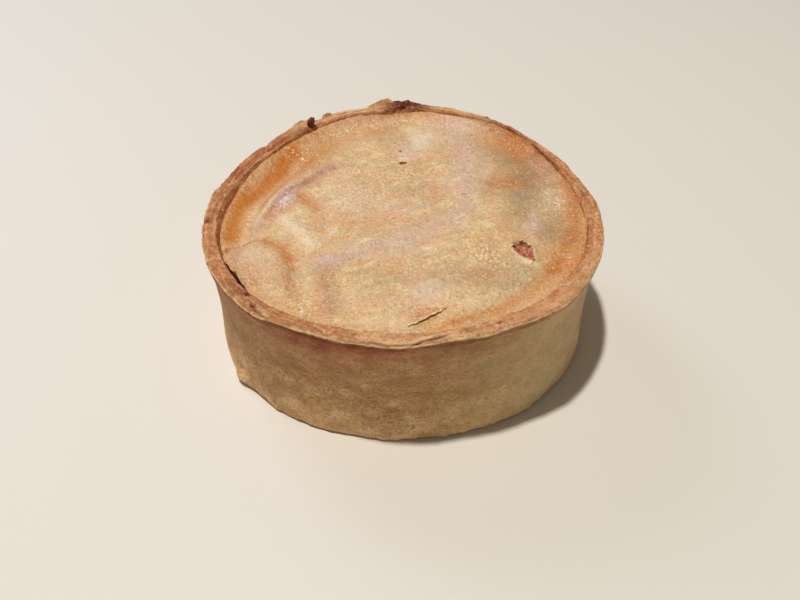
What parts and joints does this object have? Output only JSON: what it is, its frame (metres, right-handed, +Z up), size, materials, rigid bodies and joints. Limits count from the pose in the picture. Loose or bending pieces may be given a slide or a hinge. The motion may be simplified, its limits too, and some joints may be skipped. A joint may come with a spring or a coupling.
{
  "type": "scotch pie",
  "caption": "Round raised meat pie: a straight-sided pastry case with a browned, ragged rim, and a glazed lid set just below it, torn so that the meat filling shows.",
  "frame": {"origin": "middle of the flat base that the pie stands on, under the middle of its outline", "axes": "+Z up through the lid, -Y towards the viewer of the picture, +X to that viewer's right"},
  "size_m": [0.0922, 0.092, 0.0338],
  "materials": {
    "case_pastry": "matte baked crust, browner at the rim",
    "lid_pastry": "baked crust with a thin patchy glaze, golden in the gutter round the edge",
    "meat": "moist cooked mince"
  },
  "bodies": {
    "root": {"pastry_case": "case_pastry", "meat_filling": "meat", "pastry_lid": "lid_pastry"}
  },
  "joints": []
}
